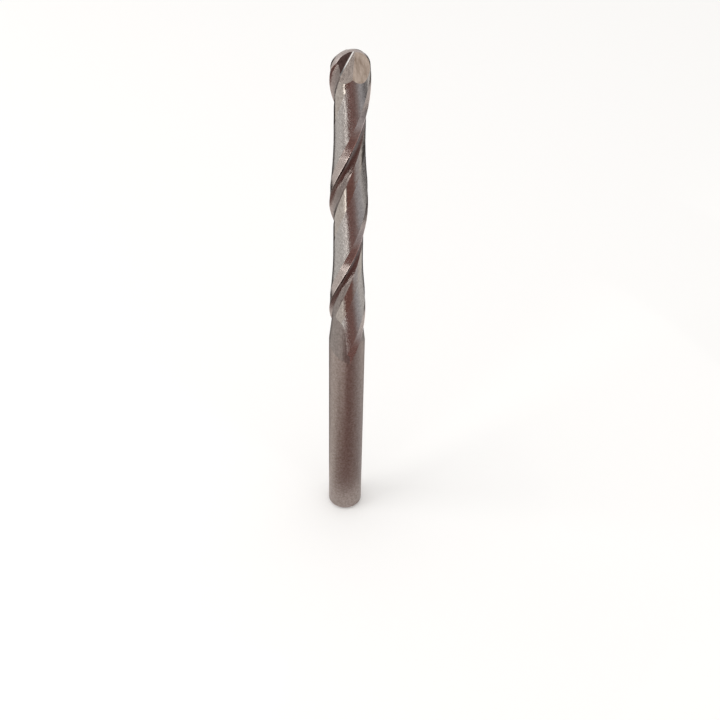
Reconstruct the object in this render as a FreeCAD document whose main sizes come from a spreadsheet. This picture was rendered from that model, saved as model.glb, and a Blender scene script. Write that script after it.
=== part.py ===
import FreeCAD, Part
import math
import os

import Sketcher
from FreeCAD import Vector

# Frame: millimetres, +Z up, origin at the centre of the shank end, ball end on top.
# The ball centre lies one cutting radius below the tip. Angles are in degrees and grow
# anticlockwise seen from the tip, which is the way each flute opens ahead of its edge.

SIZES = {
    "rod_diameter": 3.175,
    "overall_length": 50.0,
    "shank_chamfer": 0.25,
    "edge_clearance": 0.0225,
    "edge_turn": 18.0,
    "lead": 22.5,
    "rake_angle": 4.0,
    "root_depth": 0.525,
    "root_radius": 0.6,
    "core_depth": 0.33,
    "core_end_angle": 78.0,
    "heel_angle": 156.0,
    "heel_drop": 0.072,
    "heel_bulge": 0.0125,
    "land_overrun": 10.0,
    "flute_length": 31.0,
    "run_out_end": 27.9,
    "run_out_rise": 10.0,
    "run_out_pitch": 5.96,
    "run_out_blend": 0.02,
    "run_out_wall": 0.5,
    "run_out_lead_in": 270.0,
    "run_out_sweep": 322.0,
    "ball_relief": 0.2,
    "gash_half_web": 0.214,
    "gash_drop": 0.198,
    "gash_tilt": 33.9,
    "gash_turn": 14.7,
    "gash_rake": 12.4,
    "gash_opening": 129.7,
    "gash_root_radius": 0.12,
    "facet_turn": 75.9,
    "facet_slope": 24.6,
    "facet_distance": 0.932,
    "cut_allowance": 0.12,
}

START, END, CENTRE = range(1, 4)
X_AXIS, Y_AXIS = -1, -2
ORIGIN = (X_AXIS, START)
QUARTER_TURN, HALF_TURN, FULL_TURN = 90, 180, 360

doc = FreeCAD.newDocument("milling_cutter")
sheet = doc.addObject("Spreadsheet::Sheet", "sizes")
for row, (name, value) in enumerate(SIZES.items(), start=1):
    sheet.set(f"A{row}", name)
    sheet.set(f"B{row}", str(value))
    sheet.setAlias(f"B{row}", name)
doc.recompute()


def size(name):
    return float(getattr(sheet, name))


def polar(radius, angle):
    turn = math.radians(angle)
    return Vector(radius * math.cos(turn), radius * math.sin(turn), 0)


def origin_part(body, role):
    return next(part for part in body.Origin.OriginFeatures if part.Role == role)


def new_sketch(body, plane):
    sketch = body.newObject("Sketcher::SketchObject", f"{body.Name}_outline")
    sketch.AttachmentSupport = [(origin_part(body, plane), "")]
    sketch.MapMode = "FlatFace"
    return sketch


def line(sketch, start, end, construction=False):
    return sketch.addGeometry(Part.LineSegment(start, end), construction)


def arc(sketch, centre, radius, first, last):
    circle = Part.Circle(centre, Vector(0, 0, 1), radius)
    return sketch.addGeometry(Part.ArcOfCircle(circle, math.radians(first), math.radians(last)))


def join(sketch, *references):
    sketch.addConstraint(Sketcher.Constraint("Coincident", *references))


def smooth(sketch, *references):
    sketch.addConstraint(Sketcher.Constraint("Tangent", *references))


def on(sketch, *references):
    sketch.addConstraint(Sketcher.Constraint("PointOnObject", *references))


def bind(sketch, kind, references, guess, formula):
    index = sketch.addConstraint(Sketcher.Constraint(kind, *references, guess))
    sketch.setExpression(f"Constraints[{index}]", formula)


def bind_angle(sketch, ray, angle, formula):
    bind(sketch, "Angle", (X_AXIS, START, ray, START), math.radians(angle), f"({formula}) * 1 deg")


def ray(sketch, radius, angle, formula):
    index = line(sketch, Vector(0, 0, 0), polar(radius, angle), construction=True)
    join(sketch, index, START, *ORIGIN)
    bind_angle(sketch, index, angle, formula)
    return index


def corner(sketch, geometry, end, x, y, x_formula, y_formula):
    bind(sketch, "DistanceX", (*ORIGIN, geometry, end), x, x_formula)
    bind(sketch, "DistanceY", (*ORIGIN, geometry, end), y, y_formula)


# Radii of the rod, the cutting edges, the deep root, the core, and the space left by the wheels

rod_radius = size("rod_diameter") / 2
cut_radius = rod_radius - size("edge_clearance")
root_radius = cut_radius - size("root_depth")
core_radius = cut_radius - size("core_depth")
heel_radius = cut_radius - size("heel_drop")
heel_curve = rod_radius + size("heel_bulge")
void_radius = rod_radius + size("cut_allowance")
ROD_RADIUS = "sizes.rod_diameter / 2"
CUT_RADIUS = f"({ROD_RADIUS} - sizes.edge_clearance)"
ROOT_RADIUS = f"({CUT_RADIUS} - sizes.root_depth)"
CORE_RADIUS = f"({CUT_RADIUS} - sizes.core_depth)"
HEEL_RADIUS = f"({CUT_RADIUS} - sizes.heel_drop)"
HEEL_CURVE = f"({ROD_RADIUS} + sizes.heel_bulge)"
VOID_RADIUS = f"({ROD_RADIUS} + sizes.cut_allowance)"
REACH = "(sizes.rod_diameter + sizes.cut_allowance)"


# Rod with a chamfered shank end, left a little long above the tip for the ball grinding

def rod():
    body = doc.addObject("PartDesign::Body", "rod")
    sketch = new_sketch(body, "XZ_Plane")
    chamfer = size("shank_chamfer")
    top = size("overall_length") + size("cut_allowance")
    corners = [
        Vector(0, 0, 0),
        Vector(rod_radius - chamfer, 0, 0),
        Vector(rod_radius, chamfer, 0),
        Vector(rod_radius, top, 0),
        Vector(0, top, 0),
    ]
    sides = [line(sketch, a, b) for a, b in zip(corners, corners[1:] + corners[:1])]
    for side, following in zip(sides, sides[1:] + sides[:1]):
        join(sketch, side, END, following, START)
    join(sketch, sides[0], START, *ORIGIN)
    sketch.addConstraint(Sketcher.Constraint("Horizontal", sides[0]))
    sketch.addConstraint(Sketcher.Constraint("Vertical", sides[4]))
    sketch.addConstraint(Sketcher.Constraint("Horizontal", sides[3]))
    flat_formula = f"{ROD_RADIUS} - sizes.shank_chamfer"
    top_formula = "sizes.overall_length + sizes.cut_allowance"
    bind(sketch, "DistanceX", (*ORIGIN, sides[0], END), rod_radius - chamfer, flat_formula)
    corner(sketch, sides[1], END, rod_radius, chamfer, ROD_RADIUS, "sizes.shank_chamfer")
    corner(sketch, sides[2], END, rod_radius, top, ROD_RADIUS, top_formula)
    turned = body.newObject("PartDesign::Revolution", "rod_turned")
    turned.Profile = sketch
    turned.ReferenceAxis = (origin_part(body, "Z_Axis"), [""])
    turned.Angle = FULL_TURN
    return body


# Space of one flute: rake face, deep root, round core, bulging heel and relieved land

def heel_centre(first, last, curve):
    middle = (first + last) / 2
    chord = last - first
    inward = Vector(-chord.y, chord.x, 0).normalize()
    return middle + inward * math.sqrt(curve ** 2 - chord.Length ** 2 / 4)


def turn_of(point, centre):
    return math.degrees(math.atan2(point.y - centre.y, point.x - centre.x)) % FULL_TURN


def root_arc_centre(radius, distance):
    slope = math.radians(size("rake_angle"))
    along = Vector(math.cos(slope), math.sin(slope), 0)
    across = Vector(-along.y, along.x, 0)
    height = radius - cut_radius * along.y
    return across * height + along * math.sqrt(distance ** 2 - height ** 2), across


def flute():
    body = doc.addObject("PartDesign::Body", "flute")
    sketch = new_sketch(body, "XY_Plane")
    axis = Vector(0, 0, 0)
    root = size("root_radius")
    root_distance = root_radius + root
    root_centre, across = root_arc_centre(root, root_distance)
    spread = (core_radius ** 2 + root_distance ** 2 - root ** 2) / (2 * core_radius * root_distance)
    core_start = polar(core_radius, turn_of(root_centre, axis) + math.degrees(math.acos(spread)))
    core_end = polar(core_radius, size("core_end_angle"))
    heel = polar(heel_radius, size("heel_angle"))
    bulge = heel_centre(core_end, heel, heel_curve)
    rake_foot = root_centre - across * root
    land_end = HALF_TURN + size("land_overrun")

    rake = line(sketch, rake_foot, Vector(void_radius, 0, 0))
    root_start = turn_of(core_start, root_centre)
    root_arc = arc(sketch, root_centre, root, root_start, turn_of(rake_foot, root_centre))
    core = arc(sketch, axis, core_radius, turn_of(core_start, axis), turn_of(core_end, axis))
    heel_arc = arc(sketch, bulge, heel_curve, turn_of(core_end, bulge), turn_of(heel, bulge))
    land = line(sketch, heel, polar(void_radius, land_end))
    outside = arc(sketch, axis, void_radius, 0, land_end)

    smooth(sketch, rake, START, root_arc, END)
    join(sketch, root_arc, START, core, START)
    join(sketch, core, END, heel_arc, START)
    join(sketch, heel_arc, END, land, START)
    join(sketch, land, END, outside, END)
    join(sketch, rake, END, outside, START)
    join(sketch, core, CENTRE, *ORIGIN)
    join(sketch, outside, CENTRE, *ORIGIN)
    bind(sketch, "Radius", (root_arc,), root, "sizes.root_radius")
    distance_formula = f"{ROOT_RADIUS} + sizes.root_radius"
    bind(sketch, "Distance", (*ORIGIN, root_arc, CENTRE), root_distance, distance_formula)
    bind(sketch, "Radius", (core,), core_radius, CORE_RADIUS)
    bind(sketch, "Radius", (heel_arc,), heel_curve, HEEL_CURVE)
    bind(sketch, "Radius", (outside,), void_radius, VOID_RADIUS)
    bind_angle(sketch, rake, size("rake_angle"), "sizes.rake_angle")

    edge = sketch.addGeometry(Part.Point(polar(cut_radius, 0)), True)
    on(sketch, edge, START, X_AXIS)
    on(sketch, edge, START, rake)
    bind(sketch, "DistanceX", (*ORIGIN, edge, START), cut_radius, CUT_RADIUS)
    next_edge = sketch.addGeometry(Part.Point(polar(cut_radius, HALF_TURN)), True)
    on(sketch, next_edge, START, X_AXIS)
    on(sketch, next_edge, START, land)
    bind(sketch, "DistanceX", (next_edge, START, *ORIGIN), cut_radius, CUT_RADIUS)

    core_ray = ray(sketch, core_radius, size("core_end_angle"), "sizes.core_end_angle")
    join(sketch, core_ray, END, core, END)
    heel_ray = ray(sketch, heel.Length, size("heel_angle"), "sizes.heel_angle")
    join(sketch, heel_ray, END, land, START)
    bind(sketch, "Distance", (heel_ray,), heel.Length, HEEL_RADIUS)

    twist = body.newObject("PartDesign::AdditiveHelix", "flute_twist")
    twist.Profile = sketch
    twist.ReferenceAxis = (origin_part(body, "Z_Axis"), [""])
    twist.Mode = "pitch-height-angle"
    twist.setExpression("Pitch", "sizes.lead")
    twist.setExpression("Height", "sizes.flute_length + 2 * sizes.cut_allowance")
    start_turn = f"sizes.edge_turn - 360 * (sizes.flute_length - {CUT_RADIUS}) / sizes.lead"
    body.setExpression(
        "Placement",
        "placement(vector(0; 0; sizes.overall_length - sizes.flute_length);"
        f" rotation(vector(0; 0; 1); {start_turn}))",
    )
    return body


# Rising floor at the shank end of the flute, left by the rim of the grinding wheel

def run_out():
    body = doc.addObject("PartDesign::Body", "run_out")
    sketch = new_sketch(body, "XZ_Plane")
    rise = size("run_out_rise")
    low = root_radius - size("run_out_blend")
    inside = low - size("run_out_wall")
    outside = void_radius + size("cut_allowance")
    depth = rod_radius - low
    wheel = (rise ** 2 + depth ** 2) / (2 * depth)
    floor_end = rise - math.sqrt(wheel ** 2 - (wheel + low - outside) ** 2)
    bottom = -(size("flute_length") - size("run_out_end") + size("run_out_pitch") / 2)
    foot_turn = HALF_TURN + math.degrees(math.asin((rise - floor_end) / wheel))

    floor = arc(sketch, Vector(low + wheel, rise, 0), wheel, HALF_TURN, foot_turn)
    outer = line(sketch, Vector(outside, floor_end, 0), Vector(outside, bottom, 0))
    base = line(sketch, Vector(outside, bottom, 0), Vector(inside, bottom, 0))
    inner = line(sketch, Vector(inside, bottom, 0), Vector(inside, rise, 0))
    top = line(sketch, Vector(inside, rise, 0), Vector(low, rise, 0))
    sides = [floor, outer, base, inner, top]
    for side, following in zip(sides, sides[1:] + sides[:1]):
        join(sketch, side, END, following, START)
    for side in (base, top):
        sketch.addConstraint(Sketcher.Constraint("Horizontal", side))
    for side in (outer, inner):
        sketch.addConstraint(Sketcher.Constraint("Vertical", side))
    low_formula = f"{ROOT_RADIUS} - sizes.run_out_blend"
    corner(sketch, floor, START, low, rise, low_formula, "sizes.run_out_rise")
    bind(sketch, "DistanceY", (*ORIGIN, floor, CENTRE), rise, "sizes.run_out_rise")
    bind(sketch, "DistanceX", (*ORIGIN, outer, START), outside, f"{VOID_RADIUS} + sizes.cut_allowance")
    corner(
        sketch, inner, START, inside, bottom, f"{low_formula} - sizes.run_out_wall",
        "-(sizes.flute_length - sizes.run_out_end + sizes.run_out_pitch / 2)",
    )
    foot = sketch.addGeometry(Part.Point(Vector(rod_radius, 0, 0)), True)
    on(sketch, foot, START, X_AXIS)
    bind(sketch, "DistanceX", (*ORIGIN, foot, START), rod_radius, ROD_RADIUS)
    on(sketch, foot, START, floor)

    twist = body.newObject("PartDesign::AdditiveHelix", "run_out_twist")
    twist.Profile = sketch
    twist.ReferenceAxis = (origin_part(body, "Z_Axis"), [""])
    twist.Mode = "pitch-turns-angle"
    twist.LeftHanded = True
    twist.setExpression("Pitch", "sizes.run_out_pitch")
    twist.setExpression("Turns", "sizes.run_out_sweep / 360")
    end_turn = f"sizes.edge_turn + 180 - 360 * (sizes.run_out_end - {CUT_RADIUS}) / sizes.lead"
    body.setExpression(
        "Placement",
        "placement(vector(0; 0; sizes.overall_length - sizes.run_out_end"
        " - sizes.run_out_pitch * sizes.run_out_lead_in / 360);"
        f" rotation(vector(0; 0; 1); {end_turn} + sizes.run_out_lead_in))",
    )
    return body


# Waste outside half of the ball, its centre set forward so that the tooth is relieved

def ball_waste():
    body = doc.addObject("PartDesign::Body", "ball_waste")
    sketch = new_sketch(body, "XZ_Plane")
    radius = math.hypot(cut_radius, size("ball_relief"))
    reach = radius + size("cut_allowance")
    ball_formula = f"sqrt({CUT_RADIUS} ^ 2 + sizes.ball_relief ^ 2)"
    reach_formula = f"{ball_formula} + sizes.cut_allowance"
    ball = arc(sketch, Vector(0, 0, 0), radius, 0, QUARTER_TURN)
    corners = [
        Vector(0, radius, 0),
        Vector(0, reach, 0),
        Vector(reach, reach, 0),
        Vector(reach, 0, 0),
        Vector(radius, 0, 0),
    ]
    sides = [line(sketch, a, b) for a, b in zip(corners, corners[1:])]
    for side, following in zip([ball] + sides, sides):
        join(sketch, side, END, following, START)
    join(sketch, sides[3], END, ball, START)
    join(sketch, ball, CENTRE, *ORIGIN)
    on(sketch, ball, START, X_AXIS)
    on(sketch, ball, END, Y_AXIS)
    on(sketch, sides[0], END, Y_AXIS)
    on(sketch, sides[3], START, X_AXIS)
    bind(sketch, "Radius", (ball,), radius, ball_formula)
    corner(sketch, sides[1], END, reach, reach, reach_formula, reach_formula)
    sketch.addConstraint(Sketcher.Constraint("Horizontal", sides[1]))
    sketch.addConstraint(Sketcher.Constraint("Vertical", sides[2]))
    ground = body.newObject("PartDesign::Revolution", "ball_ground")
    ground.Profile = sketch
    ground.ReferenceAxis = (origin_part(body, "Z_Axis"), [""])
    ground.Angle = HALF_TURN
    body.setExpression(
        "Placement",
        f"placement(vector(0; 0; sizes.overall_length - {CUT_RADIUS});"
        " rotation(vector(0; 0; 1); sizes.edge_turn + 180))"
        " * placement(vector(0; -sizes.ball_relief; 0); rotation(vector(0; 0; 1); 0))",
    )
    return body


# Gash that carries the rake face of one tooth up to the tip

def gash():
    body = doc.addObject("PartDesign::Body", "gash")
    sketch = new_sketch(body, "XY_Plane")
    root = size("gash_root_radius")
    reach = size("rod_diameter") + size("cut_allowance")
    first = -size("gash_rake")
    second = first + size("gash_opening")
    half = math.radians(size("gash_opening") / 2)
    middle = (first + second) / 2
    tangent = root / math.tan(half)
    centre = polar(root / math.sin(half), middle)
    root_arc = arc(sketch, centre, root, second + QUARTER_TURN, first + FULL_TURN - QUARTER_TURN)
    rake = line(sketch, polar(tangent, first), polar(reach, first))
    back = line(sketch, polar(tangent, second), polar(reach, second))
    close = line(sketch, polar(reach, first), polar(reach, second))
    smooth(sketch, root_arc, END, rake, START)
    smooth(sketch, root_arc, START, back, START)
    join(sketch, rake, END, close, START)
    join(sketch, back, END, close, END)
    on(sketch, *ORIGIN, rake)
    on(sketch, *ORIGIN, back)
    bind(sketch, "Radius", (root_arc,), root, "sizes.gash_root_radius")
    bind_angle(sketch, rake, first, "-sizes.gash_rake")
    bind_angle(sketch, back, second, "sizes.gash_opening - sizes.gash_rake")
    bind(sketch, "Distance", (*ORIGIN, rake, END), reach, REACH)
    bind(sketch, "Distance", (*ORIGIN, back, END), reach, REACH)
    pad = body.newObject("PartDesign::Pad", "gash_pad")
    pad.Profile = sketch
    pad.Midplane = True
    pad.setExpression("Length", f"2 * {REACH}")
    body.setExpression(
        "Placement",
        "placement(vector(0; 0; sizes.overall_length - sizes.gash_drop);"
        " rotation(vector(0; 0; 1); sizes.edge_turn + 180 + sizes.gash_turn))"
        " * placement(vector(0; sizes.gash_half_web; 0); rotation(vector(0; 1; 0); -sizes.gash_tilt))",
    )
    return body


# Flat clearance behind one tooth at the ball end

def clearance():
    block = doc.addObject("Part::Box", "clearance")
    block.setExpression("Length", REACH)
    block.setExpression("Width", f"2 * {REACH}")
    block.setExpression("Height", f"2 * {REACH}")
    block.setExpression(
        "Placement",
        f"placement(vector(0; 0; sizes.overall_length - {CUT_RADIUS});"
        " rotation(vector(0; 0; 1); sizes.edge_turn - sizes.facet_turn))"
        " * placement(vector(0; 0; 0); rotation(vector(0; 1; 0); -sizes.facet_slope))"
        f" * placement(vector(sizes.facet_distance; -{REACH}; -{REACH});"
        " rotation(vector(0; 0; 1); 0))",
    )
    return block


def cut(name, base, tool):
    result = doc.addObject("Part::Cut", name)
    result.Base = base
    result.Tool = tool
    doc.recompute()
    return result


def opposite(tool):
    twin = doc.addObject("App::Link", f"{tool.Name}_opposite")
    twin.LinkedObject = tool
    twin.LinkTransform = True
    twin.Placement = FreeCAD.Placement(Vector(0, 0, 0), FreeCAD.Rotation(Vector(0, 0, 1), 180))
    doc.recompute()
    return twin


# The cutter is ground from the rod: both flutes, then the ball, the gashes and the flats

def cutter():
    flute_space = cut("flute_space", opposite(flute()), run_out())
    work = rod()
    doc.recompute()
    for tool in (flute_space, ball_waste(), gash(), clearance()):
        work = cut(f"{tool.Name}_cut", work, tool)
        work = cut(f"{tool.Name}_opposite_cut", work, opposite(tool))
    work.Label = "milling_cutter"
    return work


part = cutter()
for item in doc.Objects:
    assert "Invalid" not in item.State and "Error" not in item.State, item.Name
assert not part.Shape.isNull() and part.Shape.isValid(), part.Label
os.makedirs("parts", exist_ok=True)
part.Shape.exportStep(f"parts/{part.Label}.step")
print(f"{part.Label}: {part.Shape.Volume:.2f} cubic mm, {len(part.Shape.Faces)} faces")
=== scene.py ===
import math

import bpy
from mathutils import Matrix, Vector

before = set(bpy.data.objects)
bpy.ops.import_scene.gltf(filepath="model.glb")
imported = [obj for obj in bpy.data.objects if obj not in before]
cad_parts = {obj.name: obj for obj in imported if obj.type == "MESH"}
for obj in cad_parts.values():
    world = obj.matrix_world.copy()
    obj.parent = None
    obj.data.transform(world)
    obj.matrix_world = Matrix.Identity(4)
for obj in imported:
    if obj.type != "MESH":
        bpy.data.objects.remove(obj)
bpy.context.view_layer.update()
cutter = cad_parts["milling_cutter"]
MM = 0.001

# Sizes of the cutter that tell its ground faces apart, in metres and radians

ROD_RADIUS = 1.5875 * MM
CORE_RADIUS = 1.235 * MM
ROOT_RADIUS = 1.04 * MM
LEAD = 22.5 * MM
BALL_CENTRE = 48.435 * MM
EDGE_TURN = math.radians(18)
SHANK_BOTTOM = 1 * MM
RUN_OUT_TOP = 20 * MM
TIP_FACES_TOP = 49 * MM
BALL_BOTTOM = BALL_CENTRE - 0.1 * MM
LAND_INSIDE = CORE_RADIUS * 1.15
CORE_OUTSIDE = CORE_RADIUS * 1.02

# Flatness, 1 on a plane, and angle in degrees ahead of the nearest cutting edge

NEARLY_FLAT = 0.96
FLAT = 0.99
CLEARANCE_AHEAD = 100
HEEL_AHEAD = 90
GASH_BACK_AHEAD = 40


# Which face of the grinding each part of the surface belongs to

def islands(mesh):
    """Groups of polygons that share corners: one for each ground face."""
    leader = list(range(len(mesh.vertices)))

    def find(index):
        while leader[index] != index:
            leader[index] = leader[leader[index]]
            index = leader[index]
        return index

    for polygon in mesh.polygons:
        first = find(polygon.vertices[0])
        for corner in polygon.vertices[1:]:
            leader[find(corner)] = first
    groups = {}
    for polygon in mesh.polygons:
        groups.setdefault(find(polygon.vertices[0]), []).append(polygon)
    return list(groups.values())


def measure(mesh, polygons):
    """Span in height and radius, flatness and mean angle ahead of the nearest cutting edge."""
    corners = [mesh.vertices[i].co for polygon in polygons for i in polygon.vertices]
    heights = [co.z for co in corners]
    radii = [co.xy.length for co in corners]
    area = sum(polygon.area for polygon in polygons)
    normal = sum((polygon.normal * polygon.area for polygon in polygons), Vector())
    across = along = 0.0
    for polygon in polygons:
        x, y, z = polygon.center
        turn = math.atan2(y, x) - EDGE_TURN - 2 * math.pi * (z - BALL_CENTRE) / LEAD
        across += math.sin(2 * turn) * polygon.area
        along += math.cos(2 * turn) * polygon.area
    ahead = math.degrees(math.atan2(across, along)) / 2 % 180
    return min(heights), max(heights), min(radii), max(radii), normal.length / area, ahead


def tip_zone(flatness, ahead):
    """Name of one of the flat or nearly flat faces that reach the tip."""
    if ahead > CLEARANCE_AHEAD:
        return "clearance"
    if flatness < FLAT:
        return "gash_root"
    return "gash_back" if ahead > GASH_BACK_AHEAD else "gash_face"


def zone(low, high, inner, outer, flatness, ahead):
    """Name of the ground face that has these measures."""
    if low < SHANK_BOTTOM:
        return "shank"
    if flatness > NEARLY_FLAT and high > TIP_FACES_TOP:
        return tip_zone(flatness, ahead)
    if low > BALL_BOTTOM or inner > LAND_INSIDE:
        return "land"
    if outer < CORE_OUTSIDE:
        return "core"
    if low < RUN_OUT_TOP and inner < CORE_RADIUS:
        return "run_out"
    return "heel" if ahead > HEEL_AHEAD else "rake"


# Ground carbide: a dark warm metal with fine grinding lines

NOISE_DETAIL = 3.0
NOISE_MIDDLE = (0.3, 0.7)
BUMP_ROUGHNESS = 0.6
WAVE_SCALE = 1500
WAVE_STRENGTH = 0.25
WAVE_HEIGHT = 0.02 * MM
GRAIN_HEIGHT = 0.01 * MM
MOTTLE_SCALE = 5000
MOTTLE_ROUGHNESS = 0.65
EDGE_WIDTH = 0.07 * MM
EDGE_SAMPLES = 8
EDGE_OPENNESS = (0.45, 0.8)
POLISH_SPREAD = (0.8, 1.25)
EVENLY = (1, 1, 1)
IN_PLAN = (1, 1, 0)

# Repeats per metre across and up the cutter: lines that run up it, and lines round it
ALONG = (30000, 30000, 1200)
ACROSS = (3000, 3000, 40000)

# Share of the colour that is left, at one radius and at another
EVEN = (ROOT_RADIUS, ROD_RADIUS, 1.0, 1.0)
# Painted shade: the rake face darkens towards the root of the flute.
PAINTED_ROOT_SHADE = (ROOT_RADIUS, ROD_RADIUS * 0.9, 0.55, 1.0)
# Painted highlight: the gash root stays near white close to the tip and dims further out.
PAINTED_TIP_HIGHLIGHT = (0.5 * MM, 0.85 * MM, 1.0, 0.22)


def new_node(tree, kind, **inputs):
    """Node of a kind with some inputs set."""
    node = tree.nodes.new(kind)
    for name, value in inputs.items():
        node.inputs[name].default_value = value
    return node


def map_range(tree, source, from_min, from_max, to_min, to_max):
    """Value carried over from one range to another."""
    node = tree.nodes.new("ShaderNodeMapRange")
    limits = {"From Min": from_min, "From Max": from_max, "To Min": to_min, "To Max": to_max}
    for name, value in limits.items():
        node.inputs[name].default_value = value
    tree.links.new(source, node.inputs["Value"])
    return node.outputs["Result"]


def stretched_noise(tree, place, stretch, scale, roughness):
    """Noise whose grains are drawn out by a stretch along each axis."""
    mapping = new_node(tree, "ShaderNodeMapping", Scale=stretch)
    tree.links.new(place, mapping.inputs["Vector"])
    noise = new_node(tree, "ShaderNodeTexNoise", Scale=scale, Detail=NOISE_DETAIL, Roughness=roughness)
    tree.links.new(mapping.outputs["Vector"], noise.inputs["Vector"])
    return noise.outputs["Fac"]


def noise_bump(tree, height, strength, distance, normal=None):
    """Normal bumped by a height, on top of another normal."""
    bump = new_node(tree, "ShaderNodeBump", Strength=strength, Distance=distance)
    tree.links.new(height, bump.inputs["Height"])
    if normal is not None:
        tree.links.new(normal, bump.inputs["Normal"])
    return bump.outputs["Normal"]


def mottled(tree, place, streak, low_colour, high_colour):
    """Colour that wanders between a darker and a lighter tone."""
    noise = stretched_noise(tree, place, streak, MOTTLE_SCALE, MOTTLE_ROUGHNESS)
    mix = tree.nodes.new("ShaderNodeMix")
    mix.data_type = "RGBA"
    mix.inputs["A"].default_value = (*low_colour, 1)
    mix.inputs["B"].default_value = (*high_colour, 1)
    tree.links.new(map_range(tree, noise, *NOISE_MIDDLE, 0, 1), mix.inputs["Factor"])
    return mix.outputs["Result"]


def painted_edge_highlight(tree, brightness):
    """Share of the colour that rises along the outer edges: a painted highlight where they would catch
    the light.
    """
    openness = tree.nodes.new("ShaderNodeAmbientOcclusion")
    openness.inside = True
    openness.samples = EDGE_SAMPLES
    openness.inputs["Distance"].default_value = EDGE_WIDTH
    return map_range(tree, openness.outputs["AO"], *EDGE_OPENNESS, brightness, 1)


def radius_share(tree, place, shade):
    """Share of the colour that follows the distance from the cutter's axis."""
    level = tree.nodes.new("ShaderNodeVectorMath")
    level.operation = "MULTIPLY"
    level.inputs[1].default_value = IN_PLAN
    tree.links.new(place, level.inputs[0])
    radius = tree.nodes.new("ShaderNodeVectorMath")
    radius.operation = "LENGTH"
    tree.links.new(level.outputs["Vector"], radius.inputs[0])
    return map_range(tree, radius.outputs["Value"], *shade)


def scaled(tree, colour, share):
    """Colour times a share."""
    node = tree.nodes.new("ShaderNodeVectorMath")
    node.operation = "SCALE"
    tree.links.new(colour, node.inputs["Vector"])
    tree.links.new(share, node.inputs["Scale"])
    return node.outputs["Vector"]


def ground_metal(name, low_colour, high_colour, roughness, lines, depth, metallic=1.0,
                 streak=EVENLY, edge=1.6, shade=EVEN):
    """Ground face: mottled colour, waviness, grinding lines that also vary the gloss, a painted
    highlight along the outer edges, and a colour share by distance from the axis, which paints the
    rake's root shade and the gash root's highlight.
    """
    material = bpy.data.materials.new(name)
    material.use_nodes = True
    tree = material.node_tree
    shader = tree.nodes["Principled BSDF"]
    shader.inputs["Metallic"].default_value = metallic
    place = tree.nodes.new("ShaderNodeTexCoord").outputs["Object"]
    waves = stretched_noise(tree, place, EVENLY, WAVE_SCALE, BUMP_ROUGHNESS)
    grain = stretched_noise(tree, place, lines, 1, BUMP_ROUGHNESS)
    wavy = noise_bump(tree, waves, WAVE_STRENGTH, WAVE_HEIGHT)
    ground = noise_bump(tree, grain, depth, GRAIN_HEIGHT, wavy)
    colour = mottled(tree, place, streak, low_colour, high_colour)
    # Painted highlight: the colour is raised along the outer edges of every finish.
    colour = scaled(tree, colour, painted_edge_highlight(tree, edge))
    # Painted shade at the rake's root and painted highlight on the gash root near the tip, by distance
    # from the axis.
    colour = scaled(tree, colour, radius_share(tree, place, shade))
    low_gloss, high_gloss = (roughness * share for share in POLISH_SPREAD)
    polish = map_range(tree, grain, *NOISE_MIDDLE, low_gloss, high_gloss)
    tree.links.new(colour, shader.inputs["Base Color"])
    tree.links.new(polish, shader.inputs["Roughness"])
    tree.links.new(ground, shader.inputs["Normal"])
    return material


FINISHES = {
    "shank": ground_metal(
        "ground_shank", (0.24, 0.195, 0.175), (0.42, 0.355, 0.33), 0.42, ACROSS, 0.5
    ),
    "core": ground_metal(
        "polished_core", (0.33, 0.29, 0.265), (0.47, 0.43, 0.40), 0.15, ALONG, 0.2
    ),
    "run_out": ground_metal(
        "run_out", (0.21, 0.18, 0.168), (0.32, 0.285, 0.27), 0.42, ALONG, 0.5
    ),
    "heel": ground_metal(
        "ground_heel", (0.32, 0.30, 0.29), (0.48, 0.455, 0.445), 0.26, ALONG, 0.4
    ),
    # Painted highlight along the land's edges, raised further than on most finishes.
    "land": ground_metal(
        "ground_land", (0.34, 0.29, 0.275), (0.48, 0.42, 0.40), 0.26, ACROSS, 0.25, edge=2.4
    ),
    # Painted shade on the rake face, darker towards the flute root.
    "rake": ground_metal(
        "ground_rake", (0.30, 0.245, 0.23), (0.44, 0.375, 0.355), 0.20, ALONG, 0.3, shade=PAINTED_ROOT_SHADE
    ),
    # Painted highlight along the gash face's edges, raised further than on most finishes.
    "gash_face": ground_metal(
        "gash_face", (0.075, 0.046, 0.04), (0.15, 0.10, 0.09), 0.30, ALONG, 0.4, edge=2.5
    ),
    # Painted highlight: a near-white gash root, brightest close to the tip.
    "gash_root": ground_metal(
        "gash_root", (0.80, 0.78, 0.76), (0.95, 0.94, 0.92), 0.12, ALONG, 0.1, shade=PAINTED_TIP_HIGHLIGHT
    ),
    "gash_back": ground_metal(
        "gash_back", (0.17, 0.14, 0.125), (0.30, 0.255, 0.23), 0.24, ALONG, 0.4, streak=(1, 1, 0.3)
    ),
    "clearance": ground_metal(
        "ground_clearance", (0.285, 0.212, 0.165), (0.55, 0.455, 0.385), 0.5, ALONG, 0.9,
        metallic=0.6, streak=(0.7, 0.7, 0.08)
    ),
}

mesh = cutter.data
mesh.materials.clear()
slots = {}
for name, material in FINISHES.items():
    slots[name] = len(mesh.materials)
    mesh.materials.append(material)
for polygons in islands(mesh):
    index = slots[zone(*measure(mesh, polygons))]
    for polygon in polygons:
        polygon.material_index = index


# Floor

FLOOR_COLOUR = (0.95, 0.945, 0.94)
FLOOR_ROUGHNESS = 0.8
FLOOR_REACH = 3000


def staged(name, corners, faces, material):
    """Mesh of the stage from corners in millimetres."""
    data = bpy.data.meshes.new(name)
    data.from_pydata([tuple(c * MM for c in corner) for corner in corners], [], faces)
    data.materials.append(material)
    thing = bpy.data.objects.new(name, data)
    bpy.context.scene.collection.objects.link(thing)
    return thing


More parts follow.
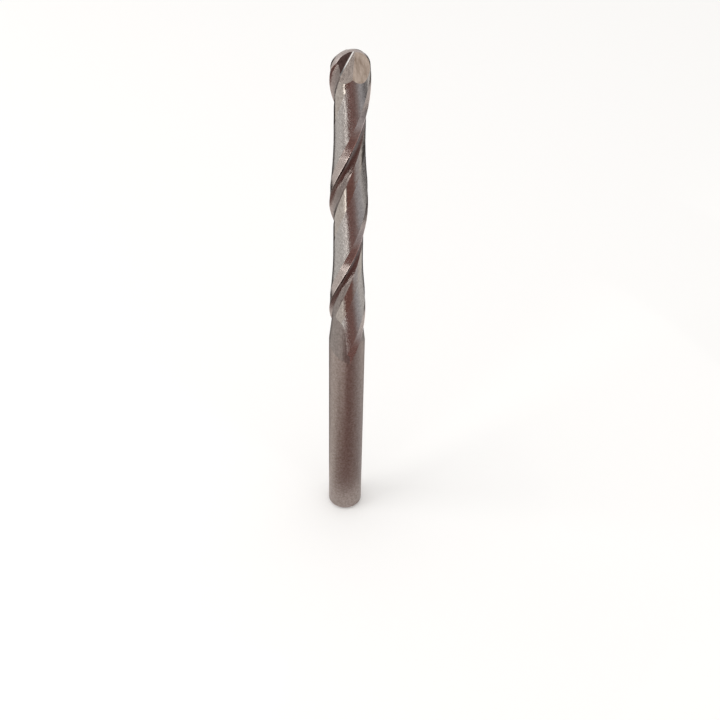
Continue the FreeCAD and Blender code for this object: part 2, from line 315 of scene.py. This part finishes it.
pale = bpy.data.materials.new("pale_floor")
pale.use_nodes = True
pale.node_tree.nodes["Principled BSDF"].inputs["Base Color"].default_value = (*FLOOR_COLOUR, 1)
pale.node_tree.nodes["Principled BSDF"].inputs["Roughness"].default_value = FLOOR_ROUGHNESS
floor_corners = [
    (-FLOOR_REACH, -FLOOR_REACH, 0), (FLOOR_REACH, -FLOOR_REACH, 0),
    (FLOOR_REACH, FLOOR_REACH, 0), (-FLOOR_REACH, FLOOR_REACH, 0),
]
staged("floor", floor_corners, [(0, 1, 2, 3)], pale)


# Cards round the cutter that only its metal mirrors, as the room did in the photograph

CARD_HEIGHT = 0.3 * MM
CARD_STEPS = 60
PAPER = (0.93, 0.90, 0.86)
STRIP = (5.0, 4.9, 4.7)
LINE = (0.05, 0.035, 0.03)
BROWN = (0.30, 0.155, 0.135)
TAUPE = (0.38, 0.29, 0.27)
SLATE = (0.70, 0.69, 0.71)
DUSK = (0.05, 0.04, 0.04)
SHANK_TAUPE = (0.46, 0.38, 0.35)
SHANK_BROWN = (0.32, 0.21, 0.19)
SHANK_DARK = (0.25, 0.14, 0.125)
SHANK_SLATE = (0.48, 0.43, 0.42)


def shaded_card(name, stops):
    """Even glow whose colour follows the azimuth in degrees round the cutter."""
    material = bpy.data.materials.new(name)
    material.use_nodes = True
    tree = material.node_tree
    tree.nodes.remove(tree.nodes["Principled BSDF"])
    place = tree.nodes.new("ShaderNodeTexCoord")
    azimuth = tree.nodes.new("ShaderNodeTexGradient")
    azimuth.gradient_type = "RADIAL"
    tree.links.new(place.outputs["Object"], azimuth.inputs["Vector"])
    ramp = tree.nodes.new("ShaderNodeValToRGB")
    tree.links.new(azimuth.outputs["Fac"], ramp.inputs["Fac"])
    elements = ramp.color_ramp.elements
    while len(elements) > 1:
        elements.remove(elements[-1])
    places = sorted({(angle + 180) % 360 / 360: colour for angle, colour in stops}.items())
    elements[0].position = places[0][0]
    elements[0].color = (*places[0][1], 1)
    for position, colour in places[1:]:
        element = elements.new(position)
        element.color = (*colour, 1)
    glow = new_node(tree, "ShaderNodeEmission", Strength=1.0)
    tree.links.new(ramp.outputs["Color"], glow.inputs["Color"])
    tree.links.new(glow.outputs["Emission"], tree.nodes["Material Output"].inputs["Surface"])
    return material


def ring_card(name, inner, outer, stops):
    """Ring between two radii in millimetres, coloured by azimuth, seen in reflections only."""
    corners = []
    for step in range(CARD_STEPS + 1):
        angle = 2 * math.pi * step / CARD_STEPS
        for reach in (inner, outer):
            corners.append((reach * math.cos(angle), reach * math.sin(angle), 0))
    faces = [(2 * i, 2 * i + 1, 2 * i + 3, 2 * i + 2) for i in range(CARD_STEPS)]
    card = staged(name, corners, faces, shaded_card(name, stops))
    card.location.z = CARD_HEIGHT
    card.visible_camera = False
    card.visible_diffuse = False
    card.visible_shadow = False
    card.visible_transmission = False
    card.visible_volume_scatter = False


def dark_side(edge, brown_end, taupe, slate):
    """Pale paper up to a bright strip, then a dark line, brown, and back to slate."""
    return [
        (edge - 7, PAPER), (edge - 5, STRIP), (edge - 2, STRIP), (edge, LINE), (edge + 4, LINE),
        (edge + 8, BROWN), (brown_end, BROWN), (taupe, TAUPE), (slate, SLATE),
    ]


# Colours at azimuths in degrees
LEFT_RIM = [(138, DUSK), (146, PAPER)]
RIGHT_RIM = [(5, PAPER), (42, PAPER), (54, DUSK)]
EARLY_RIM = [(345, SLATE), (2, PAPER), (20, DUSK)]
DARK_GAP = [(326, SLATE), (334, DUSK), (360, DUSK)]
SHANK_SIDE = [
    (188, PAPER), (215, SHANK_TAUPE), (250, SHANK_BROWN), (285, SHANK_DARK),
    (318, TAUPE), (350, SHANK_SLATE), (30, SLATE), (42, PAPER), (54, DUSK),
]
FOOT_SIDE = [(238, PAPER), (254, BROWN), (310, BROWN), (328, TAUPE), (348, SLATE)]

# Inner radius, outer radius and colours of each ring, from the shank outwards
RINGS = {
    "shank_card": (4, 20, SHANK_SIDE),
    "heel_card": (20, 28, dark_side(256, 320, 334, 350) + RIGHT_RIM),
    "foot_card": (28, 34, FOOT_SIDE + RIGHT_RIM),
    "inner_card": (34, 46, dark_side(240, 300, 310, 322) + [(345, SLATE)] + RIGHT_RIM),
    "waist_card": (46, 54, dark_side(251, 324, 338, 352) + EARLY_RIM[1:]),
    "middle_card": (54, 66, dark_side(247, 300, 310, 322) + EARLY_RIM),
    "outer_card": (66, 94, dark_side(232, 276, 296, 316) + [(345, SLATE)] + RIGHT_RIM),
    "rim_card": (94, 112, dark_side(232, 276, 296, 312) + DARK_GAP + RIGHT_RIM),
    "far_card": (112, 700, dark_side(202, 276, 296, 312) + DARK_GAP + RIGHT_RIM),
}
for name, (inner, outer, stops) in RINGS.items():
    ring_card(name, inner, outer, LEFT_RIM + stops)


# World and lamp

WORLD_COLOUR = (1.0, 0.99, 0.975)
WORLD_STRENGTH = 0.97
LAMP_PLACE = (-220, -60, 200)
LAMP_TARGET = (0, 0, 30)
LAMP_SIDE = 160
LAMP_WATTS = 0.2

world = bpy.data.worlds.new("studio")
bpy.context.scene.world = world
world.use_nodes = True
world.node_tree.nodes["Background"].inputs["Color"].default_value = (*WORLD_COLOUR, 1)
world.node_tree.nodes["Background"].inputs["Strength"].default_value = WORLD_STRENGTH

light = bpy.data.lights.new("key", "AREA")
light.shape = "SQUARE"
light.size = LAMP_SIDE * MM
light.energy = LAMP_WATTS
lamp = bpy.data.objects.new("key", light)
bpy.context.scene.collection.objects.link(lamp)
lamp.location = Vector(LAMP_PLACE) * MM
lamp.rotation_euler = (Vector(LAMP_TARGET) - Vector(LAMP_PLACE)).to_track_quat("-Z", "Y").to_euler()


# The camera of the photograph: 43 degrees above the floor, turned a little about its line of sight

FOCAL_PIXELS = 1287
IMAGE_PIXELS = 720
SENSOR_WIDTH = 36
ELEVATION = math.radians(43.41)
ROLL = math.radians(-1.31)
SHIFT_ACROSS = -0.79
SHIFT_UP = 17.85
DISTANCE = 98.63
LOOKED_AT_HEIGHT = 43.3625
NEAREST_SEEN = 1 * MM

level = Vector((1, 0, 0))
rise = Vector((0, math.sin(ELEVATION), math.cos(ELEVATION)))
inward = Vector((0, math.cos(ELEVATION), -math.sin(ELEVATION)))
viewpoint = (
    level * (-SHIFT_ACROSS * math.cos(ROLL) - SHIFT_UP * math.sin(ROLL))
    + rise * (SHIFT_ACROSS * math.sin(ROLL) - SHIFT_UP * math.cos(ROLL))
    - inward * DISTANCE
    + Vector((0, 0, LOOKED_AT_HEIGHT))
)
right = level * math.cos(ROLL) - rise * math.sin(ROLL)
up = level * math.sin(ROLL) + rise * math.cos(ROLL)
camera = bpy.data.objects.new("camera", bpy.data.cameras.new("camera"))
camera.data.sensor_width = SENSOR_WIDTH
camera.data.lens = SENSOR_WIDTH * FOCAL_PIXELS / IMAGE_PIXELS
camera.data.clip_start = NEAREST_SEEN
bpy.context.scene.collection.objects.link(camera)
turned = Matrix((right, up, -inward)).transposed().to_4x4()
turned.translation = viewpoint * MM
camera.matrix_world = turned
bpy.context.scene.camera = camera
bpy.context.scene.view_settings.view_transform = "Standard"
